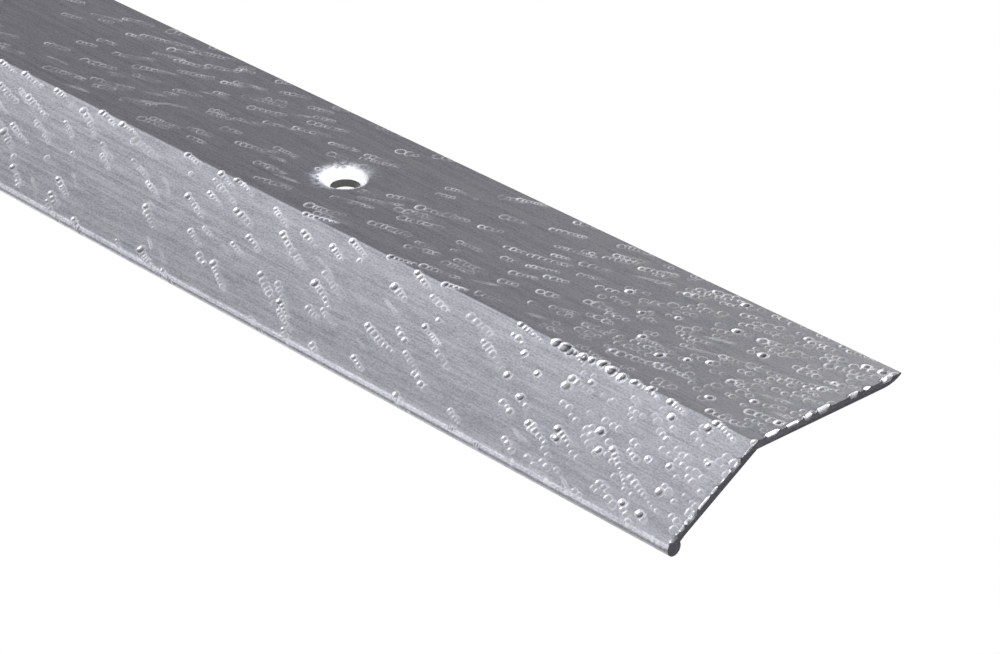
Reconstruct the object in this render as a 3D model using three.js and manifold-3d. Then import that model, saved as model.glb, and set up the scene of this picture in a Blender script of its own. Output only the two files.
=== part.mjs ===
// Aluminium threshold strip for a doorway where two floor coverings meet at different heights.
//
// One bent, embossed aluminium length covers the joint: a flat back wing lies on the higher floor,
// and a sloping front wing runs down to a round bead that stands on the lower floor. Dimpled holes
// in the back wing take countersunk screws, which pass down the gap between the two coverings into
// nylon plugs in the subfloor. Five screws and plugs are fitted, and the hole nearest the +X end is
// open.
//
// Millimetres. +X runs along the strip, +Y from the ridge to the back edge, +Z up. The origin is at
// mid-length, on the line of screw holes, on the underside of the back wing.
import * as THREE from 'three';
import { mergeVertices } from 'three/addons/utils/BufferGeometryUtils.js';
import Module from 'manifold-3d';

// Strip
const STRIP_LENGTH = 900;
const SHEET_THICKNESS = 1.2;
const BACK_WING_WIDTH = 25.7;
const FRONT_WING_WIDTH = 17.4;
const FRONT_SLOPE = THREE.MathUtils.degToRad(30.7);
const RIDGE_RADIUS = 0.5;
const INNER_BEND_RADIUS = 0.4;
const BEAD_RADIUS = 1.1;
const BACK_EDGE_THICKNESS = 0.35;
const BACK_EDGE_TAPER = 3;

// Screw holes: a dimple pressed down into the sheet, with a shallow dish around a 90 degree seat
const HOLE_COUNT = 6;
const HOLE_FROM_END = 88.5;
const HOLE_FROM_RIDGE = 11.3;
const HOLE_RADIUS = 2.05;
const SEAT_RADIUS = 3;
const DISH_RADIUS = 4.5;
const DISH_DEPTH = 0.25;
const DIMPLE_DROP = 1.3;
const DIMPLE_FOOT_RADIUS = 3.1;
const DIMPLE_SHOULDER_RADIUS = 4.9;

// Screws: raised countersunk head with a cross recess
const SCREW_LENGTH = 35;
const SCREW_RADIUS = 1.75;
const SCREW_TIP_LENGTH = 4;
const HEAD_RADIUS = 3.2;
const HEAD_RIM = 0.15;
const HEAD_DOME = 0.7;
const RECESS_SPAN = 3.4;
const RECESS_WIDTH = 0.8;
const RECESS_DEPTH = 1.5;

// Plugs: a ribbed tube, slit lengthwise below its collar
const PLUG_LENGTH = 25;
const PLUG_RADIUS = 3;
const PLUG_BORE_RADIUS = 2.05;
const PLUG_COLLAR_RADIUS = 3.8;
const PLUG_COLLAR_HEIGHT = 0.8;
const PLUG_TIP_TAPER = 3;
const PLUG_RIB_COUNT = 4;
const PLUG_RIB_PITCH = 3.6;
const PLUG_RIB_HEIGHT = 0.35;
const PLUG_SLIT_WIDTH = 0.8;
const PLUG_SLIT_TOP = 6;

const CLEARANCE = 0.3;
const OVERSHOOT = 1;
const HOLE_STEPS = 32;
const SCREW_STEPS = 24;
const PLUG_STEPS = 16;

const RIDGE_Y = -HOLE_FROM_RIDGE;
const BACK_EDGE_Y = RIDGE_Y + BACK_WING_WIDTH;
const BEAD_CENTRE_Z = SHEET_THICKNESS
  - (FRONT_WING_WIDTH - BEAD_RADIUS) * Math.sin(FRONT_SLOPE)
  - BEAD_RADIUS * Math.cos(FRONT_SLOPE);
const SEAT_TOP = SHEET_THICKNESS - DISH_DEPTH;
const SEAT_BOTTOM = SEAT_TOP - (SEAT_RADIUS - HOLE_RADIUS);
// the plugs' collars are level with the floor that the bead stands on
const PLUG_TOP = BEAD_CENTRE_Z - BEAD_RADIUS;

const wasm = await Module();
wasm.setup();

/** Points on an arc, both ends included. */
function arc(centre, radius, startAngle, endAngle, steps) {
  const points = [];
  for (let i = 0; i <= steps; i += 1) {
    const angle = startAngle + ((endAngle - startAngle) * i) / steps;
    points.push(new THREE.Vector2(
      centre.x + radius * Math.cos(angle),
      centre.y + radius * Math.sin(angle),
    ));
  }
  return points;
}

/** A solid from a closed geometry: shared vertices merged, collapsed triangles dropped. */
function solidFrom(geometry) {
  const bare = geometry.clone();
  bare.deleteAttribute('normal');
  bare.deleteAttribute('uv');
  const merged = mergeVertices(bare, 1e-4);
  const corners = merged.index.array;
  const kept = [];
  for (let i = 0; i < corners.length; i += 3) {
    const [a, b, c] = [corners[i], corners[i + 1], corners[i + 2]];
    if (a !== b && b !== c && c !== a) {
      kept.push(a, b, c);
    }
  }
  return new wasm.Manifold(new wasm.Mesh({
    numProp: 3,
    vertProperties: new Float32Array(merged.attributes.position.array),
    triVerts: new Uint32Array(kept),
  }));
}

/** A flat-shaded geometry from a solid. */
function geometryFrom(solid) {
  const mesh = solid.getMesh();
  const geometry = new THREE.BufferGeometry();
  geometry.setAttribute('position', new THREE.BufferAttribute(mesh.vertProperties, 3));
  geometry.setIndex(new THREE.BufferAttribute(mesh.triVerts, 1));
  const faceted = geometry.toNonIndexed();
  faceted.computeVertexNormals();
  return faceted;
}

/** A solid of revolution about Z. The profile holds [radius, height] pairs, from bottom to top. */
function turned(profile, steps) {
  const points = profile.map(([radius, height]) => new THREE.Vector2(radius, height));
  return solidFrom(new THREE.LatheGeometry(points, steps).rotateX(Math.PI / 2));
}

function block(sizeX, sizeY, sizeZ, centreZ) {
  return solidFrom(new THREE.BoxGeometry(sizeX, sizeY, sizeZ).translate(0, 0, centreZ));
}

/** The centre of an arc that turns the bend this far below the outer faces of both wings. */
function bendCentre(drop) {
  return new THREE.Vector2(RIDGE_Y + drop * Math.tan(FRONT_SLOPE / 2), SHEET_THICKNESS - drop);
}

/** The strip's cross-section in (y, z), counter-clockwise from the top of the back edge. */
function stripSection() {
  const downSlope = new THREE.Vector2(-Math.cos(FRONT_SLOPE), -Math.sin(FRONT_SLOPE));
  const outward = new THREE.Vector2(-Math.sin(FRONT_SLOPE), Math.cos(FRONT_SLOPE));
  const up = Math.PI / 2;
  const outwardAngle = up + FRONT_SLOPE;

  const ridge = new THREE.Vector2(RIDGE_Y, SHEET_THICKNESS);
  const ridgeCentre = bendCentre(RIDGE_RADIUS);
  const innerCentre = bendCentre(SHEET_THICKNESS + INNER_BEND_RADIUS);
  const beadCentre = ridge.clone()
    .addScaledVector(downSlope, FRONT_WING_WIDTH - BEAD_RADIUS)
    .addScaledVector(outward, -BEAD_RADIUS);
  // the bead turns from the wing's outer face round to where it meets the wing's underside
  const beadTurn = Math.PI + Math.acos((SHEET_THICKNESS - BEAD_RADIUS) / BEAD_RADIUS);

  const taperRise = SHEET_THICKNESS - BACK_EDGE_THICKNESS;
  const taperRadius = (BACK_EDGE_TAPER ** 2 + taperRise ** 2) / (2 * taperRise);
  const taperCentre = new THREE.Vector2(BACK_EDGE_Y - BACK_EDGE_TAPER, taperRadius);
  const taperTurn = Math.asin(BACK_EDGE_TAPER / taperRadius);

  return new THREE.Shape([
    new THREE.Vector2(BACK_EDGE_Y, SHEET_THICKNESS),
    ...arc(ridgeCentre, RIDGE_RADIUS, up, outwardAngle, 4),
    ...arc(beadCentre, BEAD_RADIUS, outwardAngle, outwardAngle + beadTurn, 14),
    ...arc(innerCentre, INNER_BEND_RADIUS, outwardAngle, up, 2),
    ...arc(taperCentre, taperRadius, -up, -up + taperTurn, 5),
  ]);
}

/** What a dimple adds below the sheet, before its hole is cut. */
function dimpleBoss() {
  return turned([
    [0, -DIMPLE_DROP],
    [DIMPLE_FOOT_RADIUS, -DIMPLE_DROP],
    [DIMPLE_SHOULDER_RADIUS, 0],
    [DIMPLE_SHOULDER_RADIUS, SHEET_THICKNESS / 2],
    [0, SHEET_THICKNESS / 2],
  ], HOLE_STEPS);
}

/** What a screw hole takes away: the bore, the screw's seat and the dish around it. */
function holeCutter() {
  return turned([
    [0, -DIMPLE_DROP - OVERSHOOT],
    [HOLE_RADIUS, -DIMPLE_DROP - OVERSHOOT],
    [HOLE_RADIUS, SEAT_BOTTOM],
    [SEAT_RADIUS, SEAT_TOP],
    [DISH_RADIUS, SHEET_THICKNESS],
    [DISH_RADIUS, SHEET_THICKNESS + OVERSHOOT],
    [0, SHEET_THICKNESS + OVERSHOOT],
  ], HOLE_STEPS);
}

function holePositions() {
  const first = HOLE_FROM_END - STRIP_LENGTH / 2;
  const pitch = (-2 * first) / (HOLE_COUNT - 1);
  return Array.from({ length: HOLE_COUNT }, (_, i) => first + i * pitch);
}

function makeStrip() {
  const sweep = new THREE.ExtrudeGeometry(stripSection(), {
    depth: STRIP_LENGTH,
    bevelEnabled: false,
  });
  sweep.translate(0, 0, -STRIP_LENGTH / 2);
  // the section's own x and y become Y and Z, and the sweep runs along X
  sweep.applyMatrix4(new THREE.Matrix4().makeBasis(
    new THREE.Vector3(0, 1, 0),
    new THREE.Vector3(0, 0, 1),
    new THREE.Vector3(1, 0, 0),
  ));
  let strip = solidFrom(sweep);
  const boss = dimpleBoss();
  const cutter = holeCutter();
  for (const x of holePositions()) {
    strip = strip.add(boss.translate(x, 0, 0));
    strip = strip.subtract(cutter.translate(x, 0, 0));
  }
  const material = new THREE.MeshStandardMaterial({
    color: 0xb6b7bb,
    roughness: 0.38,
    metalness: 1,
  });
  const mesh = new THREE.Mesh(geometryFrom(strip), material);
  mesh.name = 'strip_profile';
  return mesh;
}

/** A screw with its head's rim at z = 0. */
function screwGeometry() {
  const neck = -(HEAD_RADIUS - SCREW_RADIUS);
  const domeRadius = (HEAD_RADIUS ** 2 + HEAD_DOME ** 2) / (2 * HEAD_DOME);
  const domeCentre = new THREE.Vector2(0, HEAD_RIM + HEAD_DOME - domeRadius);
  const domeTurn = Math.asin(HEAD_RADIUS / domeRadius);
  const dome = arc(domeCentre, domeRadius, Math.PI / 2 - domeTurn, Math.PI / 2, 4);
  dome[dome.length - 1].x = 0;
  const body = turned([
    [0, -SCREW_LENGTH],
    [SCREW_RADIUS, -SCREW_LENGTH + SCREW_TIP_LENGTH],
    [SCREW_RADIUS, neck],
    [HEAD_RADIUS, 0],
    ...dome.map((point) => [point.x, point.y]),
  ], SCREW_STEPS);
  const top = HEAD_RIM + HEAD_DOME;
  const slotHeight = RECESS_DEPTH + OVERSHOOT;
  const slotCentre = top - RECESS_DEPTH + slotHeight / 2;
  return geometryFrom(body
    .subtract(block(RECESS_SPAN, RECESS_WIDTH, slotHeight, slotCentre))
    .subtract(block(RECESS_WIDTH, RECESS_SPAN, slotHeight, slotCentre)));
}

/** A plug with its collar's top at z = 0. */
function plugGeometry() {
  const outside = [
    [PLUG_RADIUS - PLUG_RIB_HEIGHT * 2, -PLUG_LENGTH],
    [PLUG_RADIUS - PLUG_RIB_HEIGHT, -PLUG_LENGTH + PLUG_TIP_TAPER],
  ];
  for (let i = 0; i < PLUG_RIB_COUNT; i += 1) {
    const foot = -PLUG_LENGTH + PLUG_TIP_TAPER + i * PLUG_RIB_PITCH;
    outside.push([PLUG_RADIUS - PLUG_RIB_HEIGHT, foot + PLUG_RIB_PITCH / 4]);
    outside.push([PLUG_RADIUS, foot + (PLUG_RIB_PITCH * 3) / 4]);
    outside.push([PLUG_RADIUS - PLUG_RIB_HEIGHT, foot + PLUG_RIB_PITCH]);
  }
  const tube = turned([
    [PLUG_BORE_RADIUS, -PLUG_LENGTH],
    ...outside,
    [PLUG_RADIUS - PLUG_RIB_HEIGHT, -PLUG_COLLAR_HEIGHT],
    [PLUG_COLLAR_RADIUS, -PLUG_COLLAR_HEIGHT],
    [PLUG_COLLAR_RADIUS, 0],
    [PLUG_BORE_RADIUS, 0],
    [PLUG_BORE_RADIUS, -PLUG_LENGTH],
  ], PLUG_STEPS);
  const slitHeight = PLUG_LENGTH - PLUG_SLIT_TOP + OVERSHOOT;
  const slitCentre = -PLUG_SLIT_TOP - slitHeight / 2;
  const across = 2 * PLUG_RADIUS + OVERSHOOT;
  return geometryFrom(tube
    .subtract(block(across, PLUG_SLIT_WIDTH, slitHeight, slitCentre)));
}

/** The screws and plugs, in every hole but the last. */
function makeFixings() {
  const fixings = new THREE.Group();
  const screwShape = screwGeometry();
  const plugShape = plugGeometry();
  const steel = { color: 0xc9c8c4, roughness: 0.3, metalness: 1 };
  const nylon = { color: 0x8d9094, roughness: 0.55, metalness: 0 };
  // the head's cone sits a clearance above the seat, on the same 90 degree slope
  const rimHeight = SEAT_BOTTOM + (HEAD_RADIUS - HOLE_RADIUS) + CLEARANCE;
  holePositions().slice(0, -1).forEach((x, i) => {
    const screw = new THREE.Mesh(screwShape, new THREE.MeshStandardMaterial(steel));
    screw.name = `screw_${i + 1}`;
    screw.position.set(x, 0, rimHeight);
    fixings.add(screw);
    const plug = new THREE.Mesh(plugShape, new THREE.MeshStandardMaterial(nylon));
    plug.name = `plug_${i + 1}`;
    plug.position.set(x, 0, PLUG_TOP);
    fixings.add(plug);
  });
  return fixings;
}

const threshold = new THREE.Group();
threshold.add(makeStrip());
threshold.add(makeFixings());

export default threshold;
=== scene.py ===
"""An embossed aluminium threshold strip with its screws and floor plugs, over a pale studio floor.

The strip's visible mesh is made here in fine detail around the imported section. Its outer face
carries pressed dents as real geometry, the screw holes are pressed dimples, and the sawn ends show
the sheet. The screws and plugs are made in their CAD nodes' places. Lengths are in millimetres
until a mesh is made, and metres after that.
"""

import copy
import math

import bpy
import numpy as np
from mathutils import Matrix, Vector


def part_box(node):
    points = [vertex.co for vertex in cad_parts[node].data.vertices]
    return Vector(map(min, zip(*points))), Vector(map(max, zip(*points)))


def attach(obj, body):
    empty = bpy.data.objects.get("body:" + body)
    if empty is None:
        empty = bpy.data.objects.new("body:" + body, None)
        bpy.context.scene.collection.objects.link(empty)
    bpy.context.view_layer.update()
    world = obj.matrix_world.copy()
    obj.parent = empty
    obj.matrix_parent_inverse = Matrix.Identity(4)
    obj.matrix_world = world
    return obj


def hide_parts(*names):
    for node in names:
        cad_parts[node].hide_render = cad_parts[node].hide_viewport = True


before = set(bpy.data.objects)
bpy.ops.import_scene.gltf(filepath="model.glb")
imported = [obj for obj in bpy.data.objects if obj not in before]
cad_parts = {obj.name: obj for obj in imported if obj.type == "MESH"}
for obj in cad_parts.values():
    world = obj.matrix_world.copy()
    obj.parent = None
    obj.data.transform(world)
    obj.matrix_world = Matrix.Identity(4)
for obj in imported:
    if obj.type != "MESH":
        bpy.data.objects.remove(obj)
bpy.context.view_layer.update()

MM = 0.001
BODY = "root"

# ---- The strip's places, from the frame ----
strip_low, strip_high = (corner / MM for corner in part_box("strip_profile"))
SCREWS = sorted(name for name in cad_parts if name.startswith("screw_"))
PLUGS = sorted(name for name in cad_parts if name.startswith("plug_"))


def middle(node):
    """The middle of a CAD node's box, in mm."""
    low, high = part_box(node)
    return (low + high) / 2 / MM


screw_x = [middle(name).x for name in SCREWS]
OPEN_HOLE_X = 2 * screw_x[-1] - screw_x[-2]
HOLES_X = [*screw_x, OPEN_HOLE_X]

X_MIN, X_MAX = strip_low.x, strip_high.x
BACK_EDGE_Y = strip_high.y
SHEET = strip_high.z
FLOOR_Z = strip_low.z

# ---- The strip's section ----
RIDGE_Y = -11.3
FRONT_WING = 17.4
FRONT_SLOPE = math.radians(30.7)
RIDGE_RADIUS = 0.5
INNER_BEND_RADIUS = 0.4
BEAD_RADIUS = 1.1
EDGE_THICKNESS = 0.35
EDGE_ROUND = 0.08
EDGE_TAPER = 3.0
BURR = 0.12

# Each screw hole is a cone pressed into the sheet, softened at its shoulder, around a short bore.
# The sheet bulges below it, and is paler, bluish and speckled around it, mostly towards -X.
HOLE_RADIUS = 2.05
CONE_RADIUS = 2.75
CONE_SLOPE = 1.6
CONE_SOFTNESS = 0.55
BULGE_DROP = 1.3
BULGE_FOOT = 2.6
BULGE_SHOULDER = 4.9
SMOOTH_REACH = 5.0
PUNCHED_REACH = 1.7
FROST_REACH = 2.8
FROST_TURN = 0.6
BORE_LEVELS = (0.06, 0.3, 0.6, 0.94)
BORE_MARK = 2.0

# Mesh spacing. RING_CELLS cells of the fine grid become the round rim of a hole, and half as many
# of the coarse one. The last FINE_LENGTH to +X is meshed finely, the rest at every second line.
RING_CELLS = 18
CELL = HOLE_RADIUS / RING_CELLS
HALO = 4 * HOLE_RADIUS
FINE_LENGTH = 190.0
COARSE_STEP = 0.6

# Steps of the section's arcs, and the spacing of the lines under the front wing. Under the back
# wing there is a line at every so many cells, up to so many cells from the hole line.
EDGE_STEPS = 2
BEND_STEPS = 4
BEAD_STEPS = 28
INNER_BEND_STEPS = 2
TAPER_STEPS = 4
FRONT_UNDER_STEP = 1.0
UNDER_CELLS = ((1, RING_CELLS), (4, 2 * RING_CELLS), (10, 140))

LEVEL = 0.9999  # upright part of a level face's normal, at least
FAR_AWAY = 1e3
TINY = 1e-9


def smooth(share):
    """A share from 0 to 1, eased at both ends."""
    share = np.clip(share, 0, 1)
    return share * share * (3 - 2 * share)


def arc(centre, radius, start, end, steps):
    """Points on an arc, both ends included, and which of them the coarse mesh keeps."""
    angles = np.linspace(start, end, steps + 1)
    y, z = centre[0] + radius * np.cos(angles), centre[1] + radius * np.sin(angles)
    return np.stack([y, z], 1), every_second(steps + 1)


def line(start, end, step):
    """Points between two ends, without either of them, and which of them the coarse mesh keeps."""
    start, end = np.asarray(start, float), np.asarray(end, float)
    cells = max(2, round(float(np.linalg.norm(end - start)) / step))
    share = np.arange(1, cells)[:, None] / cells
    return start + (end - start) * share, every_second(cells - 1)


def level_line(cells, z):
    """Points at whole numbers of cells from the hole line, at height z."""
    cells = np.asarray(cells)
    return np.stack([cells * CELL, np.full(len(cells), z)], 1), cells % 2 == 0


def every_second(count):
    """Which of some points the coarse mesh keeps: every second one, and the last."""
    keep = np.arange(count) % 2 == 0
    keep[-1] = True
    return keep


class Section:
    """One turn round the strip's section, counter-clockwise seen from +X, from the back edge.

    points are (y, z), and coarse says which of them the coarse mesh keeps. outer says which lie on
    the embossed face, and q is how far each of those is from the ridge along the face, positive on
    the back wing. top and under say which lie on the back wing's flat faces.
    """

    def __init__(self, points, coarse, outer_count):
        self.points = points
        self.coarse = coarse
        self.outer = np.arange(len(points)) < outer_count
        along = np.roll(points, -1, 0) - np.roll(points, 1, 0)
        along /= np.linalg.norm(along, axis=1)[:, None]
        self.normals = np.stack([along[:, 1], -along[:, 0]], 1)
        steps = np.linalg.norm(np.diff(points, axis=0), axis=1)
        run = np.concatenate([[0], np.cumsum(steps)])
        from_ridge = np.hypot(points[:, 0] - RIDGE_Y, points[:, 1] - SHEET)
        ridge = np.argmin(from_ridge + ~self.outer * FAR_AWAY)
        self.q = run[ridge] - run
        self.top = self.outer & (points[:, 1] == SHEET) & (self.normals[:, 1] > LEVEL)
        self.under = (points[:, 1] == 0.0) & (self.normals[:, 1] < -LEVEL)

    def thinned(self):
        """The same section with only the coarse mesh's lines."""
        other = copy.copy(self)
        for name, values in vars(self).items():
            setattr(other, name, values[self.coarse])
        return other

    def line_at(self, flat):
        """The number of the line that runs through the holes' axes, on one flat face."""
        return int(np.flatnonzero(flat & (np.abs(self.points[:, 0]) < CELL / 4))[0])


def make_section():
    """The section with all its lines: the outer face from the back edge to the bead, then back."""
    up = math.pi / 2
    outward = up + FRONT_SLOPE
    down_slope = np.array([-math.cos(FRONT_SLOPE), -math.sin(FRONT_SLOPE)])
    normal = np.array([math.cos(outward), math.sin(outward)])
    ridge = np.array([RIDGE_Y, SHEET])
    bend, inner_bend = (np.array([RIDGE_Y + drop * math.tan(FRONT_SLOPE / 2), SHEET - drop])
                        for drop in (RIDGE_RADIUS, SHEET + INNER_BEND_RADIUS))
    bead = ridge + down_slope * (FRONT_WING - BEAD_RADIUS) - normal * BEAD_RADIUS
    bead_turn = math.pi + math.acos((SHEET - BEAD_RADIUS) / BEAD_RADIUS)
    rise = SHEET - EDGE_THICKNESS
    taper_radius = (EDGE_TAPER ** 2 + rise ** 2) / (2 * rise)
    taper_centre = (BACK_EDGE_Y - EDGE_TAPER, taper_radius)
    taper_turn = math.asin(EDGE_TAPER / taper_radius)

    first_cell = math.floor((BACK_EDGE_Y - 2 * EDGE_ROUND) / CELL)
    last_cell = math.ceil((bend[0] + CELL / 4) / CELL)
    edge_corner = (BACK_EDGE_Y - EDGE_ROUND, SHEET - EDGE_ROUND)
    bend_arc = arc(bend, RIDGE_RADIUS, up, outward, BEND_STEPS)
    bead_arc = arc(bead, BEAD_RADIUS, outward, outward + bead_turn, BEAD_STEPS)
    inner_arc = arc(inner_bend, INNER_BEND_RADIUS, outward, up, INNER_BEND_STEPS)
    outer = [
        arc(edge_corner, EDGE_ROUND, 0, up, EDGE_STEPS),
        level_line(range(first_cell, last_cell - 1, -1), SHEET),
        bend_arc,
        line(bend_arc[0][-1], bead_arc[0][0], CELL),
        bead_arc,
    ]
    flat_start, flat_end = inner_bend[0] + CELL, taper_centre[0] - CELL
    under_cells = {k for every, reach in UNDER_CELLS for k in range(-reach, reach + 1)
                   if k % every == 0 and flat_start < k * CELL < flat_end}
    under = [
        line(bead_arc[0][-1], inner_arc[0][0], FRONT_UNDER_STEP),
        inner_arc,
        level_line(sorted(under_cells), 0.0),
        arc(taper_centre, taper_radius, -up, -up + taper_turn, TAPER_STEPS),
    ]
    points, coarse = (np.concatenate(parts) for parts in zip(*outer, *under))
    return Section(points, coarse, sum(len(part[0]) for part in outer))


def stations(start, end, step, cell):
    """Places along the strip, at the grid's own cell around every hole and wider elsewhere."""
    holes = [x for x in HOLES_X if start < x < end]
    reach = round(HALO / cell)
    places = [np.array([start, end])]
    edges = [start]
    for x in holes:
        places.append(x + np.arange(-reach, reach + 1) * cell)
        edges += [x - HALO, x + HALO]
    edges.append(end)
    for a, b in zip(edges[::2], edges[1::2]):
        places.append(np.linspace(a, b, math.ceil((b - a) / step) + 1))
    places = np.sort(np.concatenate(places))
    apart = np.diff(places) > cell / 50
    return places[np.concatenate([[True], apart])]


# ---- Embossing ----
# Each dent is (x, q, half length, half width, direction, depth, width of its wall).

# The roller's pattern comes back after a turn, and starts with a denser stretch from the +X end.
# RIDGE_RUN is where the large pits on the ridge start and end.
ROLLER_TURN = 190.0
DENSE_LENGTH = 40.0
DENSE_PIT_LENGTH = 0.7 * DENSE_LENGTH
RIDGE_RUN = (17.0, 36.0)
BACK_REACH = BACK_EDGE_Y - RIDGE_Y
CELL_WALL = 0.13

# The grain's direction at the ridge, in radians, and what it gains from there to the wing's edge
FRONT_HEADING = (-0.24, -0.24)
BACK_HEADING = (0.22, 0.1)
DENSE_BACK_HEADING = (0.1, 0.28)
DENSE_FRONT_SHARE = 0.8
HEADING_SPREAD = 0.06

# A chain has a long shallow body, a deeper head, and cells that fade towards its end. Numbers in
# brackets are limits of random ones, here and below.
CHAIN_BEND = 0.02
BODY_WIDTH, BODY_DEPTH = 0.42, 0.4
HEAD_WIDTH, HEAD_DEPTH, HEAD_WALL = (0.85, 1.1), 1.3, 0.55
CHAIN_FADE = 0.45
CHAIN_HALF = (0.26, 0.5)
CHAIN_STEP, CHAIN_GAP = (0.95, 1.08), 0.05
CHAIN_DRIFT = 0.03
CHAIN_WIDTH = (0.75, 1.2)
CHAIN_DEPTH = (0.7, 1.25)

RING_WIDTH = (0.75, 1.2)
RING_LENGTH = (0.9, 1.25)
RING_DEPTH = (0.6, 1.3)
RING_STEP = (2.1, 3.2)
RING_DRIFT = 0.08

GROOVE_BEND = 0.012
GROOVE_STEP = 0.8
GROOVE_HALF = (0.9, 0.5)

# A grid is its steps along and across, and the share of its places that are used. On a wing, a
# random number below GROOVE_BELOW gives a groove and below RING_BELOW rings. The others give
# chains, but in the dense stretch only those below CHAIN_BELOW do.
JITTER = (0.45, 0.42)
WING_GRID = (7.6, 2.1, 0.74)
GROOVE_BELOW, RING_BELOW, CHAIN_BELOW = 0.14, 0.22, 0.5
GROOVE_LENGTH, GROOVE_WIDTH, GROOVE_DEPTH = (2.5, 6), 0.36, 0.35
WING_RING_WIDTH, WING_RING_DEPTH = 0.8, 0.9
CHAIN_LENGTHS, CHAIN_WIDTHS, CHAIN_DEPTHS = (1.6, 6.0), (0.7, 1.2), (0.55, 1.3)
HEAD_SIZES = [0.8, 1.0, 1.25]
FRONT_DEPTH, BACK_DEPTH = 0.05, 0.024

DENSE_BACK_GRID = (3.4, 1.4, 0.75)
DENSE_BACK_WIDTH, DENSE_BACK_DEPTH = (0.7, 1.1), (0.004, 0.014)
DENSE_FRONT_GRID = (2.6, 1.6, 0.7)
DENSE_FRONT_WIDTH, DENSE_FRONT_DEPTH = 0.85, 0.022
PIT_GRID = (5.2, 3.4, 0.42)
PIT_WIDTH, PIT_WALL = (0.9, 1.15), 0.26
FRONT_PIT_DEPTH, BACK_PIT_DEPTH = 0.10, 0.065

RIDGE_GRID = (7.0, 1.4, 0.9)
RIDGE_SPREAD, RIDGE_SHIFT = 0.5, -0.2
RIDGE_LENGTH, RIDGE_WIDTH, RIDGE_DEPTH, RIDGE_HEAD = (2.5, 4.5), 0.85, 0.07, 1.2
RUN_GRID = (1.7, 0.8, 0.95)
RUN_WIDTH, RUN_DEPTH, RUN_WALL = (1.1, 1.4), 0.12, 0.28

# Notches of the sawn edge: half length along it, reach from it, depth, and mean gap between them
NOTCH_HALF = (0.4, 1.3)
NOTCH_REACH = (0.06, 0.28)
NOTCH_DEPTH = (0.2, 0.75)
NOTCH_GAP = 1.2

# A dent's floor slopes along it. Its raised rim is a low lip just outside its wall, and a line of
# painted highlight, also duller and rougher, lies on its edge. Long dents are marked more weakly,
# and large deep ones get painted shade at the far side.
FLOOR_TILT = 0.6
RIM_WIDTH = 0.13
RIM_BASE = 0.005
RIM_SHARE = 0.4
RIM_OUTSIDE = 0.8
RIM_LINE_OUTSIDE = 0.05
RIM_LINE_WIDTH = 0.6
RIM_LINE_BASE = 0.30
RIM_LINE_DEPTH = 0.075
RIM_LINE_LOST_INSIDE = 0.6
SLENDER = 2.5
SLENDER_INSIDE, SLENDER_RIM_LINE = 0.25, 0.55
SHADED_RADIUS = 0.3
SHADED_DEPTH = 0.08
SHADED_START, SHADED_FADE = 0.06, 0.14

# Limits of the embossing: a dent's depth as a share of the sheet, and how it fades at the edges
DEEPEST_SHARE = 0.4
FOOT_FADE = 1.2
EDGE_FADE, EDGE_LEFT = 1.2, 0.25

rng = np.random.default_rng(11)


def from_end(x):
    """How far a place is from the start of the roller's turn, which is at the +X end."""
    return (X_MAX - x) % ROLLER_TURN


def heading(x, q):
    """The grain's direction: it leaves the ridge towards +X, most steeply at the edges."""
    dense = from_end(x) < DENSE_LENGTH
    if q < 0:
        start, gain = FRONT_HEADING
        angle = start + gain * min(1, -q / FRONT_WING)
        if dense:
            angle *= DENSE_FRONT_SHARE
    else:
        start, gain = DENSE_BACK_HEADING if dense else BACK_HEADING
        angle = start + gain * min(1, q / BACK_REACH)
    return angle + rng.normal(0, HEADING_SPREAD)


def chain(x, q, length, width, depth, head):
    """A run of pressed cells like a wood pore: a round head, then cells that touch and shrink."""
    angle = heading(x, q)
    bend = rng.normal(0, CHAIN_BEND)
    half = width * head / 2
    middle_x, middle_q = x + length / 2 * math.cos(angle), q + length / 2 * math.sin(angle)
    dents = [
        (middle_x, middle_q, length / 2 + half, width * BODY_WIDTH, angle, depth * BODY_DEPTH,
         CELL_WALL),
        (x, q, half, half * rng.uniform(*HEAD_WIDTH), angle, depth * HEAD_DEPTH, HEAD_WALL * half),
    ]
    travelled = 0.0
    while travelled < length:
        fade = 1 - CHAIN_FADE * travelled / length
        next_half = width * rng.uniform(*CHAIN_HALF)
        step = (half + next_half) * rng.uniform(*CHAIN_STEP) + CHAIN_GAP
        x += step * math.cos(angle)
        q += step * math.sin(angle) + rng.normal(0, CHAIN_DRIFT)
        dents.append((x, q, next_half, width / 2 * fade * rng.uniform(*CHAIN_WIDTH), angle,
                      depth * fade * rng.uniform(*CHAIN_DEPTH), CELL_WALL))
        travelled += step
        half = next_half
        angle += bend
    return dents


def rings(x, q, count, width, depth, wall=CELL_WALL):
    """A row of small round dents that don't touch."""
    angle = heading(x, q)
    dents = []
    for _ in range(count):
        half = width / 2 * rng.uniform(*RING_WIDTH)
        dents.append((x, q + rng.normal(0, RING_DRIFT), half * rng.uniform(*RING_LENGTH), half,
                      angle, depth * rng.uniform(*RING_DEPTH), wall))
        step = half * rng.uniform(*RING_STEP)
        x += step * math.cos(angle)
        q += step * math.sin(angle)
    return dents


def groove(x, q, length, width, depth):
    """A long thin shallow mark."""
    angle = heading(x, q)
    bend = rng.normal(0, GROOVE_BEND)
    steps = max(3, round(length / (width * GROOVE_STEP)))
    half_long, half_wide = GROOVE_HALF
    dents = []
    for k in range(steps):
        fade = math.sqrt(math.sin(math.pi * (k + 0.5) / steps))
        dents.append((x, q, width * half_long, width * half_wide * fade, angle, depth * fade,
                      CELL_WALL))
        x += length / steps * math.cos(angle)
        q += length / steps * math.sin(angle)
        angle += bend
    return dents


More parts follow.
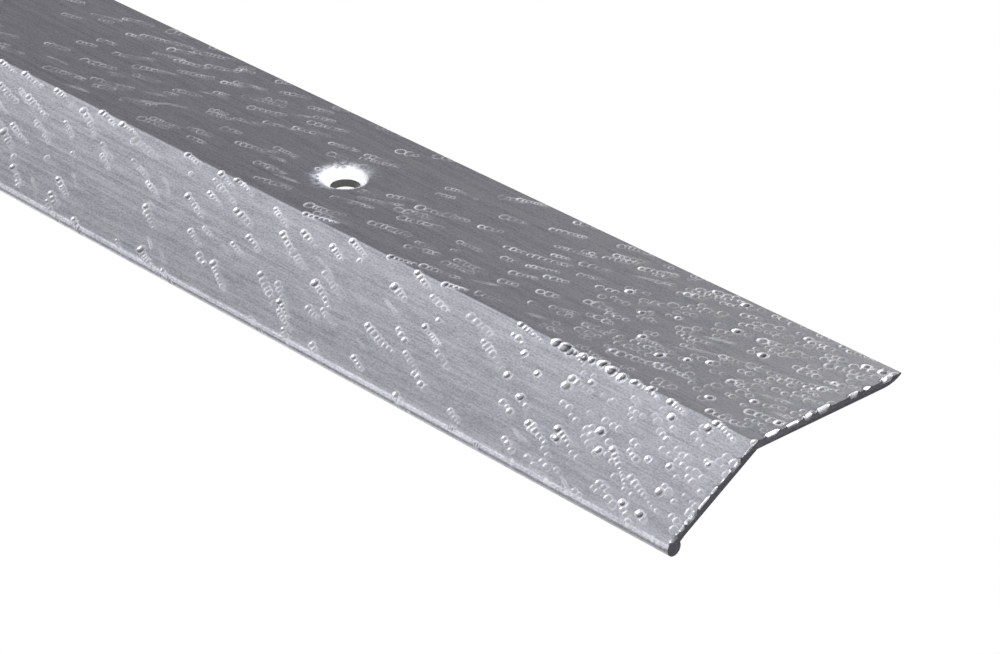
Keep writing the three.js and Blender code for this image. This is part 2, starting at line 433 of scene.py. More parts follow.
def scattered(low_q, high_q, step_x, step_q, keep):
    """Places on a jittered grid over the strip's length and a band of the outer face."""
    along, across = JITTER
    rows = max(1, round((high_q - low_q) / step_q))
    for column in range(round((X_MAX - X_MIN) / step_x) + 1):
        for row in range(rows):
            x = X_MIN + (column + rng.uniform(-along, along) + 0.5 * (row % 2)) * step_x
            q = low_q + (row + 0.5 + rng.uniform(-across, across)) * (high_q - low_q) / rows
            if rng.random() < keep:
                yield x, q


def wing_dents(low_q, high_q, depth):
    """The chains and marks of one wing."""
    dents = []
    for x, q in scattered(low_q, high_q, *WING_GRID):
        dense = from_end(x) < DENSE_LENGTH
        kind = rng.random()
        if kind < GROOVE_BELOW:
            dents += groove(x, q, rng.uniform(*GROOVE_LENGTH), GROOVE_WIDTH, depth * GROOVE_DEPTH)
        elif kind < RING_BELOW:
            dents += rings(x, q, int(rng.integers(1, 4)), WING_RING_WIDTH, depth * WING_RING_DEPTH)
        elif not dense or kind < CHAIN_BELOW:
            dents += chain(x, q, rng.uniform(*CHAIN_LENGTHS), rng.uniform(*CHAIN_WIDTHS),
                           depth * rng.uniform(*CHAIN_DEPTHS), rng.choice(HEAD_SIZES))
    return dents


def dense_dents():
    """The closer pattern over one stretch of the roller: rows of rings, and single deeper pits."""
    dents = []
    for x, q in scattered(0.8, BACK_REACH, *DENSE_BACK_GRID):
        if from_end(x) < DENSE_LENGTH:
            dents += rings(x, q, int(rng.integers(1, 4)), rng.uniform(*DENSE_BACK_WIDTH),
                           rng.uniform(*DENSE_BACK_DEPTH))
    for x, q in scattered(-FRONT_WING, -0.9, *DENSE_FRONT_GRID):
        if from_end(x) < DENSE_PIT_LENGTH:
            dents += rings(x, q, int(rng.integers(1, 3)), DENSE_FRONT_WIDTH, DENSE_FRONT_DEPTH)
    for x, q in scattered(-FRONT_WING, BACK_REACH, *PIT_GRID):
        if from_end(x) < DENSE_LENGTH:
            depth = FRONT_PIT_DEPTH if q < 0 else BACK_PIT_DEPTH
            dents += rings(x, q, 1, rng.uniform(*PIT_WIDTH), depth, PIT_WALL)
    return dents


def ridge_dents():
    """Dents along the bend: short chains, and a run of large pits in the dense stretch."""
    dents = []
    for x, q in scattered(-0.7, 0.7, *RIDGE_GRID):
        dents += chain(x, q * RIDGE_SPREAD + RIDGE_SHIFT, rng.uniform(*RIDGE_LENGTH), RIDGE_WIDTH,
                       RIDGE_DEPTH, RIDGE_HEAD)
    for x, q in scattered(-0.5, 0.3, *RUN_GRID):
        if RIDGE_RUN[0] < from_end(x) < RIDGE_RUN[1]:
            dents += rings(x, q, 1, rng.uniform(*RUN_WIDTH), RUN_DEPTH, RUN_WALL)
    return dents


def sawn_end_dents():
    """Notches that the saw left in the +X edge, each sloping down to the cut."""
    dents = []
    q = -FRONT_WING + 1.0
    while q < BACK_REACH - 1.5:
        half = rng.uniform(*NOTCH_HALF)
        reach = rng.uniform(*NOTCH_REACH)
        dents.append((X_MAX + reach, q + half, 2 * reach, half, 0.0, rng.uniform(*NOTCH_DEPTH),
                      min(2 * reach, half)))
        q += 2 * half + rng.exponential(NOTCH_GAP)
    return dents


def all_dents():
    """Every dent of the strip, one a row. The random draws follow this order."""
    return np.array(wing_dents(-FRONT_WING + 0.2, -1.0, FRONT_DEPTH)
                    + wing_dents(1.0, BACK_REACH, BACK_DEPTH)
                    + dense_dents() + ridge_dents() + sawn_end_dents())


def emboss(dents, x, q, x_lines, q_lines):
    """Depth of the pressed pattern on a grid of places, and three shares.

    The shares are 1 inside a dent, on the painted highlight along its edge, and in the painted
    shade at the far side of a large one.
    """
    depth, lip, inside, ring, shade = (np.zeros_like(x) for _ in range(5))
    for dent_x, dent_q, half_long, half_wide, angle, deep, wall in dents:
        span = max(half_long, half_wide) + 3 * RIM_WIDTH
        i0, i1 = np.searchsorted(x_lines, (dent_x - span, dent_x + span))
        j0, j1 = np.searchsorted(-q_lines, (-dent_q - span, -dent_q + span))
        if i1 <= i0 or j1 <= j0:
            continue
        patch = (slice(i0, i1), slice(j0, j1))
        dx = x[patch] - dent_x
        dq = q[patch] - dent_q
        along = dx * math.cos(angle) + dq * math.sin(angle)
        across = -dx * math.sin(angle) + dq * math.cos(angle)
        radius = min(half_long, half_wide)
        past = np.maximum(np.abs(along) - (half_long - radius), 0)
        aside = np.maximum(np.abs(across) - (half_wide - radius), 0)
        inward = radius - np.hypot(past, aside)
        floor = smooth(inward / wall)
        bottom = deep * floor * (1 - FLOOR_TILT * np.clip(along / half_long, -1, 1))
        rim = np.exp(-((inward + RIM_OUTSIDE * RIM_WIDTH) / RIM_WIDTH) ** 2)
        # The line along a dent's edge: the material lightens it as a painted highlight, and makes
        # it duller and rougher
        dull_rim_and_painted_highlight = np.exp(-((inward + RIM_LINE_OUTSIDE * RIM_WIDTH) / (RIM_LINE_WIDTH * RIM_WIDTH)) ** 2)
        slender = half_long > SLENDER * half_wide
        strength = min(1, RIM_LINE_BASE + deep / RIM_LINE_DEPTH) * (SLENDER_RIM_LINE if slender else 1.0)
        layers = [
            (depth, bottom),
            (inside, floor * (SLENDER_INSIDE if slender else 1.0)),
            (lip, (RIM_BASE + RIM_SHARE * deep) * rim),
            (ring, dull_rim_and_painted_highlight * strength),
        ]
        # Painted shade: the material darkens the far side of a large deep dent
        if radius > SHADED_RADIUS:
            far_side = smooth(0.5 + along / half_long)
            far_side = far_side * smooth((inward - SHADED_START) / SHADED_FADE)
            layers.append((shade, far_side * min(1, deep / SHADED_DEPTH) ** 2))
        for layer, values in layers:
            np.maximum(layer[patch], values, out=layer[patch])
    return depth - lip * (1 - inside), inside, ring * (1 - RIM_LINE_LOST_INSIDE * inside), shade


# ---- The strip's mesh ----
# Two grids of lines round the section and along the strip, joined at one station.

def round_holes(x, y, flat):
    """Draws the grid round each hole into rings.

    Also gives the distance to the nearest hole's axis, and how much of it is toward -X as a share.
    """
    distance = np.full(x.shape, FAR_AWAY)
    behind = np.zeros(x.shape)
    for hole_x in HOLES_X:
        dx = x - hole_x
        ring = np.maximum(np.abs(dx), np.abs(y))
        near = flat & (ring < HALO)
        share = smooth((HALO - ring) / (HALO - SMOOTH_REACH))
        scale = share * ring / np.maximum(np.hypot(dx, y), TINY) + 1 - share
        x = np.where(near, hole_x + dx * scale, x)
        y = np.where(near, y * scale, y)
        distance = np.where(near, np.hypot(x - hole_x, y), distance)
        behind = np.where(near, (hole_x - x) / np.maximum(distance, TINY), behind)
    return x, y, distance, behind


def rim_cells(reach):
    """The cells of a hole's square rim, counter-clockwise seen from above."""
    side = np.arange(-reach, reach)
    edge = np.full(2 * reach, reach)
    return np.concatenate([
        np.stack([edge, side], 1),
        np.stack([-side, edge], 1),
        np.stack([-edge, -side], 1),
        np.stack([side, -edge], 1),
    ])


class Block:
    """A stretch of the strip on one grid, with its points numbered from a given start.

    marks are the shares that the aluminium's material reads, one for each point.
    """

    def __init__(self, section, x_lines, reach, dents, start):
        self.section = section
        self.x_lines = x_lines
        self.reach = reach
        self.start = start
        rows, columns = len(x_lines), len(section.points)
        self.count = rows * columns
        self.index = start + np.arange(self.count).reshape(rows, columns)
        self.faces = []
        self.shape(dents)
        self.add_faces()

    def shape(self, dents):
        """Places every point: the section, the rings round the holes, the dents and the dimples."""
        section = self.section
        rows = len(self.x_lines)
        x = np.repeat(self.x_lines[:, None], len(section.points), 1)
        y, z, top, under = (np.repeat(values[None, :], rows, 0)
                            for values in (*section.points.T, section.top, section.under))
        x, y, distance, behind = round_holes(x, y, top | under)

        outer = section.outer
        q_lines = section.q[outer]
        q = q_lines + y[:, outer] - section.points[outer, 0]
        depth, inside, ring, shade = emboss(dents, x[:, outer], q, self.x_lines, q_lines)
        fade = smooth((distance[:, outer] - CONE_RADIUS) / (SMOOTH_REACH - CONE_RADIUS))
        fade = fade * smooth((q_lines + FRONT_WING + FOOT_FADE) / FOOT_FADE)
        to_edge = np.clip((BACK_REACH - q) / EDGE_TAPER, 0, 1)
        sheet = SHEET - (SHEET - EDGE_THICKNESS) * (1 - to_edge) ** 2
        depth = np.minimum(depth, DEEPEST_SHARE * sheet) * fade
        depth = depth * smooth(EDGE_LEFT + (BACK_REACH - q) / EDGE_FADE)
        y[:, outer] -= depth * section.normals[outer, 0]
        z[:, outer] -= depth * section.normals[outer, 1]

        marks = {}
        for name, share in (("pit", inside), ("rim", ring), ("shade", shade)):
            marks[name] = np.zeros(x.shape)
            marks[name][:, outer] = share * fade
        inward = (CONE_RADIUS - distance) / CONE_SOFTNESS
        cone = CONE_SLOPE * CONE_SOFTNESS * np.log1p(np.exp(inward))
        outward = (distance - BULGE_FOOT) / (BULGE_SHOULDER - BULGE_FOOT)
        bulge = BULGE_DROP * (1 - smooth(outward))
        z -= np.where(top & (distance < HALO), cone, 0) + np.where(under, bulge, 0)
        punched = 1 - smooth((distance - CONE_RADIUS) / PUNCHED_REACH)
        frost = 1 - smooth((distance - CONE_RADIUS) / FROST_REACH)
        marks["punched"] = np.where(top, punched, 0)
        marks["frost"] = np.where(top, frost * smooth(0.5 + FROST_TURN * behind), 0)
        self.points = [np.stack([x, y, z], -1).reshape(-1, 3)]
        self.marks = {name: [values.ravel()] for name, values in marks.items()}

    def chamfer_under(self, row):
        """Leaves the small slant that the saw and file leave under an end."""
        under = ~self.section.outer
        flat = self.points[0].reshape(*self.index.shape, 3)
        flat[row, under, 1:] -= BURR * self.section.normals[under]

    def add_faces(self):
        """Fills the grid with quads, leaving each hole open with a wall round it."""
        here, across = self.index[:-1], self.index[1:]
        quads = np.stack([here, np.roll(here, -1, 1), np.roll(across, -1, 1), across], -1)
        keep = np.ones(quads.shape[:2], bool)
        top_line = self.section.line_at(self.section.top)
        under_line = self.section.line_at(self.section.under)
        cells = rim_cells(self.reach)
        first, last = self.x_lines[0], self.x_lines[-1]
        for hole_x in (x for x in HOLES_X if first < x < last):
            row = int(np.argmin(np.abs(self.x_lines - hole_x)))
            span = slice(row - self.reach, row + self.reach)
            for middle_line in (top_line, under_line):
                keep[span, middle_line - self.reach:middle_line + self.reach] = False
            upper = self.index[row + cells[:, 0], top_line - cells[:, 1]]
            lower = self.index[row + cells[:, 0], under_line + cells[:, 1]]
            self.add_bore(upper, lower)
        self.faces.append(quads[keep])

    def add_bore(self, upper, lower):
        """The wall of one hole between its upper and lower rims."""
        rims = [self.points[0][rim - self.start] for rim in (upper, lower)]
        levels = [upper]
        for share in BORE_LEVELS:
            ring = rims[0] * (1 - share) + rims[1] * share
            self.points.append(ring)
            for name, parts in self.marks.items():
                parts.append(np.full(len(ring), BORE_MARK if name == "punched" else 0.0))
            levels.append(self.start + self.count + np.arange(len(ring)))
            self.count += len(ring)
        levels.append(lower)
        for a, b in zip(levels, levels[1:]):
            self.faces.append(np.stack([a, np.roll(a, -1), np.roll(b, -1), b], -1))


def joint_faces(coarse_row, fine_row, kept):
    """Polygons between the coarse block's last station and the fine block's first.

    kept numbers the fine section's points that the coarse one has too.
    """
    columns = len(fine_row)
    next_kept = np.roll(kept, -1)
    next_coarse = np.roll(coarse_row, -1)
    faces = []
    for i, (a, b) in enumerate(zip(kept, next_kept)):
        between = np.arange(a, b if b > a else b + columns)[::-1] % columns
        faces.append([coarse_row[i], next_coarse[i], fine_row[b], *fine_row[between]])
    return faces


def make_strip():
    """The strip as one closed mesh, whose point attributes say where it is embossed or punched."""
    section = make_section()
    dents = all_dents()
    split = X_MAX - FINE_LENGTH
    coarse_x = stations(X_MIN, split - CELL, COARSE_STEP, 2 * CELL)
    fine_x = stations(split, X_MAX, CELL, CELL)
    rough = Block(section.thinned(), coarse_x, RING_CELLS // 2, dents, 0)
    fine = Block(section, fine_x, RING_CELLS, dents, rough.count)
    rough.chamfer_under(0)
    fine.chamfer_under(-1)
    blocks = (rough, fine)
    quads = np.concatenate([face for block in blocks for face in block.faces])
    points = np.concatenate([part for block in blocks for part in block.points])
    joint = joint_faces(rough.index[-1], fine.index[0], np.flatnonzero(section.coarse))
    caps = [fine.index[-1], rough.index[0, ::-1]]
    mesh = mesh_from("strip_profile_embossed", points, quads, joint, caps)
    for name in fine.marks:
        values = np.concatenate([part for block in blocks for part in block.marks[name]])
        attribute = mesh.attributes.new(name, "FLOAT", "POINT")
        attribute.data.foreach_set("value", values.astype(np.float32))
    return mesh


def mesh_from(name, points, quads, polygons=(), end_polygons=()):
    """A smooth mesh in metres from points in mm. The end polygons take the second material."""
    mesh = bpy.data.meshes.new(name)
    larger = [*polygons, *end_polygons]
    sizes = np.array([4] * len(quads) + [len(face) for face in larger], np.int32)
    corners = np.concatenate([quads.ravel(), *larger]).astype(np.int32)
    mesh.vertices.add(len(points))
    mesh.vertices.foreach_set("co", (points * MM).astype(np.float32).ravel())
    mesh.loops.add(len(corners))
    mesh.loops.foreach_set("vertex_index", corners)
    mesh.polygons.add(len(sizes))
    mesh.polygons.foreach_set("loop_start", (np.cumsum(sizes) - sizes).astype(np.int32))
    slots = np.arange(len(sizes)) >= len(sizes) - len(end_polygons)
    mesh.polygons.foreach_set("material_index", slots.astype(np.int32))
    mesh.update(calc_edges=True)
    mesh.validate()
    mesh.shade_smooth()
    return mesh


def show(mesh, *materials):
    """Links a mesh as an object of the same name, with its materials."""
    piece = bpy.data.objects.new(mesh.name, mesh)
    bpy.context.scene.collection.objects.link(piece)
    for material in materials:
        mesh.materials.append(material)
    return piece


# ---- Screws and plugs, each made in its own CAD node's place ----
HEAD_RADIUS = 3.2
HEAD_RIM = 0.15
HEAD_DOME = 0.7
HEAD_EDGE = 0.03
SHANK_RADIUS = 1.5
THREAD_RADIUS = 1.75
THREAD_CORE = 1.2
THREAD_PITCH = 1.6
THREAD_STEP = 0.125
THREAD_WIDTH = 0.55
THREAD_RUN_IN = 2.0
TIP_LENGTH = 4.0
TIP_BLUNT = 0.01
TIP_CURVE = 0.8
RECESS_REACH = 1.8
RECESS_DEPTH = 1.5
RECESS_HALF_WIDTH = 0.45
RECESS_NARROWS = 0.25
RECESS_WALL = 0.18
CONE_ROWS = 8
DOME_ROWS = 52
CROWN_RADIUS = 0.02
SCREW_COLUMNS = 64

PLUG_RADIUS = 2.65
PLUG_BORE = 2.05
PLUG_TIP = 3.0
PLUG_RIBS = 4
RIB_PITCH = 3.6
RIB_HEIGHT = 0.35
RIB_ROWS = 12
COLLAR_RADIUS = 3.8
COLLAR_HEIGHT = 0.8
COLLAR_ROUND = 0.12
COLLAR_FOOT = 0.15
COLLAR_ROWS = 9
BORE_FLARE = 0.25
SLIT_WIDTH = 0.8
SLIT_TOP = 6.0
PLUG_COLUMNS = 24

# A plug's tip, as height from its end, inset from PLUG_RADIUS and flare of the bore, then the rows
# where it widens by TIP_INSET. A rib starts to rise and to fall at these shares of its pitch, each
# over the second share. PLAIN_ROWS are the heights of the rows between the ribs and the collar.
TIP_ROWS = ((0.0, 0.5, 0.05), (0.15, 0.36, 0.0))
TIP_INSET = 0.35
WIDENING_ROWS = (1.0, 2.0, PLUG_TIP)
RIB_RISE = (0.2, 0.5)
RIB_FALL = (0.78, 0.2)
PLAIN_ROWS = (-SLIT_TOP, -4.0, -2.0, -COLLAR_HEIGHT - COLLAR_FOOT)


def recess(x, y):
    """Depth of the cross recess in a screw's head: two arms, deepest where they cross."""
    depth = np.zeros_like(x)
    for along, across in ((np.abs(x), np.abs(y)), (np.abs(y), np.abs(x))):
        deep = RECESS_DEPTH * np.sqrt(np.clip(1 - along / RECESS_REACH, 0, 1))
        half = RECESS_HALF_WIDTH * (1 - RECESS_NARROWS * along / RECESS_REACH)
        depth = np.maximum(depth, deep * smooth((half - across) / RECESS_WALL))
    return depth


def make_screw(node):
    """A raised countersunk screw with a helical thread and a cross recess."""
    low, high = (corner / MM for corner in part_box(node))
    rim = high.z - HEAD_DOME - HEAD_RIM
    neck = rim - (HEAD_RADIUS - SHANK_RADIUS)
    turn = np.linspace(0, 2 * math.pi, SCREW_COLUMNS, endpoint=False)

    z = np.arange(low.z, neck, THREAD_STEP)
    phase = (z[:, None] / THREAD_PITCH - turn / (2 * math.pi)) % 1
    ridge = np.clip(1 - np.abs(phase - 0.5) * 2 / THREAD_WIDTH, 0, 1)
    threaded = smooth((neck - THREAD_RUN_IN - z) / THREAD_RUN_IN)[:, None]
    radius = THREAD_CORE + (THREAD_RADIUS - THREAD_CORE) * ridge
    radius = threaded * radius + (1 - threaded) * SHANK_RADIUS
    radius *= np.clip((z - low.z) / TIP_LENGTH, TIP_BLUNT, 1)[:, None] ** TIP_CURVE
    height = np.repeat(z[:, None], SCREW_COLUMNS, 1)

    cone = np.linspace(SHANK_RADIUS, HEAD_RADIUS - HEAD_EDGE, CONE_ROWS)
    dome = np.linspace(HEAD_RADIUS - HEAD_EDGE, CROWN_RADIUS, DOME_ROWS)
    dome_radius = (HEAD_RADIUS ** 2 + HEAD_DOME ** 2) / (2 * HEAD_DOME)
    dome_z = rim + HEAD_RIM + HEAD_DOME - dome_radius + np.sqrt(dome_radius ** 2 - dome ** 2)
    rim_z = [rim + HEAD_EDGE, rim + HEAD_RIM - HEAD_EDGE]
    head_radius = np.concatenate([cone, [HEAD_RADIUS, HEAD_RADIUS], dome])
    head_z = np.concatenate([rim - HEAD_RADIUS + cone, rim_z, dome_z])
    head_radius, head_z = (np.repeat(values[:, None], SCREW_COLUMNS, 1)
                           for values in (head_radius, head_z))
    on_dome = slice(len(cone) + len(rim_z), None)
    x, y = head_radius * np.cos(turn), head_radius * np.sin(turn)
    head_z[on_dome] -= recess(x[on_dome], y[on_dome])

    radius, height = np.concatenate([radius, head_radius]), np.concatenate([height, head_z])
    x, y = radius * np.cos(turn) + middle(node).x, radius * np.sin(turn)
    points = np.stack([x, y, height], -1).reshape(-1, 3)
    index = np.arange(radius.size).reshape(radius.shape)
    quads = ring_quads(index, np.roll(index, -1, 1))
    return mesh_from(node + "_threaded", points, quads, [index[0, ::-1], index[-1]])


def ring_quads(here, beside):
    """Quads between rows of point numbers and the same rows one column on."""
    return np.stack([here[:-1], beside[:-1], beside[1:], here[1:]], -1).reshape(-1, 4)


def plug_outline(length):
    """Rows of (height from the collar's top, outer radius, bore radius) from a plug's tip up."""
    rows = [(-length + rise, PLUG_RADIUS - inset, PLUG_BORE + flare)
            for rise, inset, flare in TIP_ROWS]
    rows += [(z - length, PLUG_RADIUS - TIP_INSET * (1 - z / PLUG_TIP), PLUG_BORE)
             for z in WIDENING_ROWS]
    for rib in range(PLUG_RIBS):
        foot = -length + PLUG_TIP + rib * RIB_PITCH
        for share in np.arange(1, RIB_ROWS + 1) / RIB_ROWS:
            rise, fall = (smooth((share - start) / span) for start, span in (RIB_RISE, RIB_FALL))
            radius = PLUG_RADIUS + RIB_HEIGHT * (rise * (1 - fall))
            rows.append((foot + share * RIB_PITCH, radius, PLUG_BORE))
    rows += [(z, PLUG_RADIUS, PLUG_BORE) for z in PLAIN_ROWS]
    half = COLLAR_HEIGHT / 2
    for angle in np.linspace(-math.pi / 2, math.pi / 2, COLLAR_ROWS):
        z = -half + (half - COLLAR_ROUND) * np.sign(angle) + COLLAR_ROUND * math.sin(angle)
        radius = COLLAR_RADIUS - COLLAR_ROUND + COLLAR_ROUND * math.cos(angle)
        rows.append((z, radius, PLUG_BORE + max(0.0, BORE_FLARE * angle)))
    return np.array(rows)


def make_plug(node):
    """A ribbed tube with a collar, slit lengthwise below it."""
    low, high = (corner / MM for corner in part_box(node))
    rows = plug_outline(high.z - low.z)
    share = np.linspace(0, 1, PLUG_COLUMNS + 1)
    walls = []
    for radius in rows[:, 1:].T:
        slit = np.arcsin(SLIT_WIDTH / 2 / radius)[:, None]
        turn = slit + (math.pi - 2 * slit) * share
        turn = np.concatenate([turn, turn + math.pi], 1)
        height = np.repeat(rows[:, :1], turn.shape[1], 1)
        walls.append(np.stack([radius[:, None] * np.cos(turn) + middle(node).x,
                               radius[:, None] * np.sin(turn), height + high.z], -1))
    outer = np.arange(turn.size).reshape(turn.shape)
    inner = outer + outer.size
    outer_next, inner_next = np.roll(outer, -1, 1), np.roll(inner, -1, 1)
    leg_rows = int(np.flatnonzero(rows[:, 0] == -SLIT_TOP)[0])
    ends = [PLUG_COLUMNS, 2 * PLUG_COLUMNS + 1]
    whole = np.ones((len(rows) - 1, turn.shape[1]), bool)
    whole[:leg_rows, ends] = False
    whole = whole.ravel()
    legs = [column for column in range(turn.shape[1]) if column not in ends]

    def ring_at(row):
        """Quads between the two walls at one row, facing down."""
        return np.stack([outer[row], inner[row], inner_next[row], outer_next[row]], -1)

    quads = [
        ring_quads(outer, outer_next)[whole],
        ring_quads(inner, inner_next)[whole][:, ::-1],
        np.stack([outer[-1], outer_next[-1], inner_next[-1], inner[-1]], -1),
        ring_at(0)[legs],
        ring_at(leg_rows)[ends],
    ]
    leg = slice(leg_rows + 1)
    for column in ends:
        a, b = outer[leg, column], inner[leg, column]
        quads.append(np.stack([a[:-1], b[:-1], b[1:], a[1:]], -1))
        a, b = outer_next[leg, column], inner_next[leg, column]
        quads.append(np.stack([a[:-1], a[1:], b[1:], b[:-1]], -1))
    points = np.concatenate(walls).reshape(-1, 3)
    return mesh_from(node + "_ribbed", points, np.concatenate(quads))


# ---- Materials ----
class Nodes:
    """Short calls for building the node tree of a material or a world."""

    def __init__(self, owner):
        owner.use_nodes = True
        self.owner = owner
        self.tree = owner.node_tree
        self.shader = self.tree.nodes.get("Principled BSDF")

    def add(self, kind, inputs=None, **settings):
        """A node of some kind with its settings and inputs."""
        node = self.tree.nodes.new(kind)
        for key, value in settings.items():
            setattr(node, key, value)
        for key, value in (inputs or {}).items():
            self.set(node, key, value)
        return node

    def set(self, node, key, value):
        """Gives an input of a node a value, or a link from a socket."""
        if isinstance(value, bpy.types.NodeSocket):
            self.tree.links.new(value, node.inputs[key])
        else:
            node.inputs[key].default_value = value

    def math(self, operation, a, b=0.0, c=0.0):
        return self.add("ShaderNodeMath", {0: a, 1: b, 2: c}, operation=operation).outputs[0]

    def noise(self, scale, detail=2.0, roughness=0.5):
        """Noise over the object's own coordinates, scaled along each, in cycles per metre."""
        place = self.add("ShaderNodeTexCoord").outputs["Object"]
        spread = self.add("ShaderNodeVectorMath", {0: place, 1: scale}, operation="MULTIPLY")
        node = self.add("ShaderNodeTexNoise", {"Vector": spread.outputs[0], "Scale": 1.0,
                                               "Detail": detail, "Roughness": roughness})
        return node.outputs[0]

    def ramp(self, value, low, high, to_low=0.0, to_high=1.0):
        """A value taken from one range to another, and held at its ends."""
        inputs = {0: value, 1: low, 2: high, 3: to_low, 4: to_high}
        return self.add("ShaderNodeMapRange", inputs).outputs[0]

    def blend(self, values, weights):
        """The sum of some values, each times its weight."""
        total = None
        for value, weight in zip(values, weights):
            part = self.math("MULTIPLY", value, weight)
            total = part if total is None else self.math("ADD", total, part)
        return total

    def mix(self, share, a, b):
        """One colour at a share of 0, and another at 1."""
        return self.add("ShaderNodeMix", {0: share, 6: a, 7: b}, data_type="RGBA").outputs[2]

    def attribute(self, name):
        """One of the mesh's marks."""
        return self.add("ShaderNodeAttribute", attribute_name=name).outputs["Fac"]

    def bump(self, height, strength, distance):
        """Tilts the shader's normal by a height."""
        inputs = {"Height": height, "Strength": strength, "Distance": distance}
        self.set(self.shader, "Normal", self.add("ShaderNodeBump", inputs).outputs[0])


# Noises of the drawn metal, in cycles per metre along X, Y and Z
FINE_LINES = (14, 3600, 3600)
MIDDLE_LINES = (9, 1500, 1500)
BROAD_LINES = (5, 420, 420)
GRAIN = (2600, 5200, 5200)
SMEARS = (180, 900, 900)
RIM_LINE_BREAKS = (420, 700, 700)
SPECKLE = (1500, 1500, 1500)

# Weights of what is blended, in order, then spans of the tones and what they turn into
LINE_WEIGHTS = (0.54, 0.34, 0.12)
TONE_WEIGHTS = (0.42, 0.34, 0.24)
HEIGHT_WEIGHTS = (0.42, 0.42, 0.40)
COLOUR_SPAN = (0.38, 0.62)
ROUGH_SPAN = (0.36, 0.64)
ROUGHNESS = (0.36, 0.27)
RIM_LINE_SPAN, RIM_LINE_SHARES = (0.38, 0.62), (0.1, 1.0)
SPECKLE_SPAN = (0.40, 0.58)

METAL_DARK = (0.46, 0.46, 0.52, 1)
METAL_LIGHT = (0.93, 0.93, 1.0, 1)
METAL_PRESSED = (0.88, 0.88, 0.915, 1)
# Colour of the painted shade in large dents
METAL_PAINTED_SHADE = (0.10, 0.10, 0.11, 1)
METAL_FROSTED = (0.86, 0.89, 0.96, 1)
# Colour of the bore's wall: painted shade inside the holes
METAL_BORE_PAINTED_SHADE = (0.27, 0.275, 0.26, 1)
PRESSED_SHARE, PAINTED_SHADE_SHARE, FROSTED_SHARE = 0.6, 0.9, 0.6

# Painted light and shade, as shares of the metal's colour: at the front wing's foot away from the
# cut and at it (darker), at the back edge (lighter), and on the front and the back wing at the cut
CUT_REACH = 110
CUT_START = 0.15
FOOT_PAINTED_SHADE = (0.64, 0.80)
BACK_EDGE_PAINTED_LIGHT = 1.12
CUT_PAINTED_LIGHT_AND_SHADE = (0.98, 1.2)

# Rim lines of the dents (painted highlight), frost and the dimples' cones are dull: each takes its
# share of the metallic look, up to MOST_DULL in all. The first two are rougher too, and pressed
# places a little smoother. On a dimple's shoulder, between these values of the punched mark, the
# lines stand higher.
DULL_WEIGHTS = (0.45, 0.8, 0.7)
MOST_DULL = 0.8
RIM_LINE_ROUGH, FROST_ROUGH, PRESSED_ROUGH = 0.32, 0.3, 0.92
SHOULDER_START, SHOULDER_END = (0.0, 0.3), (0.6, 0.95)
CONE_START, CONE_END = (0.75, 1.0), (1.0, 1.2)
SHOULDER_HEIGHT = 4.0
ANISOTROPY = 0.4


